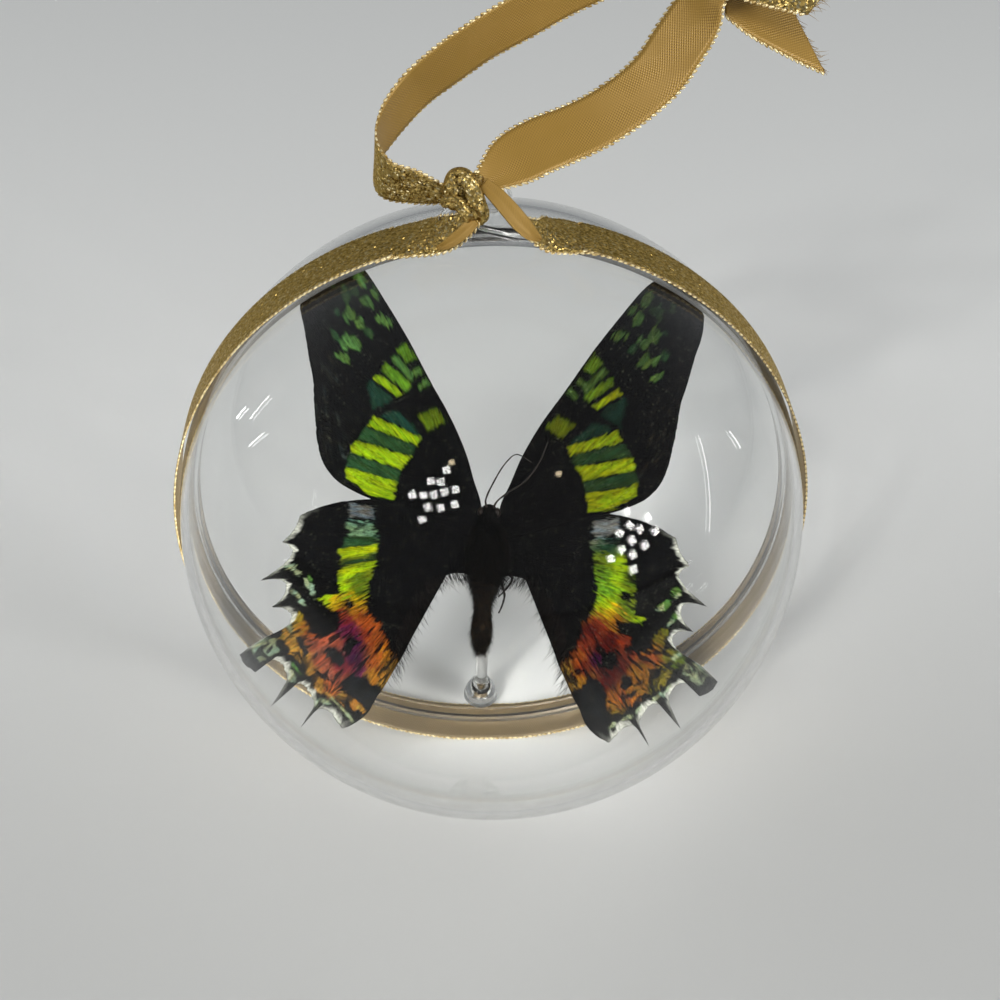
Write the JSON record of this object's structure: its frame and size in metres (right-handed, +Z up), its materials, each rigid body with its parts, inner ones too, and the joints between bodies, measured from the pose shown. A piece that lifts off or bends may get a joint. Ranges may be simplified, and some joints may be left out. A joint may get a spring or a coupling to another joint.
{
  "type": "mounted moth in a clear ball ornament",
  "caption": "Dried moth with spread green wings on a clear rod inside a clear two-part plastic ball, tied round the seam with a gold ribbon and a hanging loop.",
  "frame": {"origin": "centre of the short flat of ribbon that the ball stands on", "axes": "+Z up through the ball's centre and eyelets, +X to the moth's right-hand side as seen from the front, -Y towards the front half of the ball"},
  "size_m": [0.1016, 0.1, 0.1363],
  "materials": {
    "clear_plastic": "clear polished, see-through",
    "glue": "clear, slightly milky",
    "wing": "fine scales, soft sheen",
    "body": "short fur",
    "gold_glitter": "woven metallic glitter",
    "gold_satin": "satin twill"
  },
  "bodies": {
    "root": {"front_shell": "clear_plastic", "back_shell": "clear_plastic", "support_rod": "clear_plastic", "glue_bead": "glue", "head": "body", "thorax": "body", "abdomen": "body", "left_forewing": "wing", "left_hindwing": "wing", "right_forewing": "wing", "right_hindwing": "wing", "left_antenna": "body", "right_antenna": "body", "right_mid_leg": "body", "right_hind_leg": "body", "ribbon_band": "gold_glitter", "ribbon_left_lead": "gold_satin", "ribbon_right_lead": "gold_satin", "ribbon_knot": "gold_glitter", "left_strand": "gold_satin", "right_strand": "gold_satin", "bow_knot": "gold_glitter", "glitter_tail": "gold_glitter", "satin_tail": "gold_satin"}
  },
  "joints": []
}
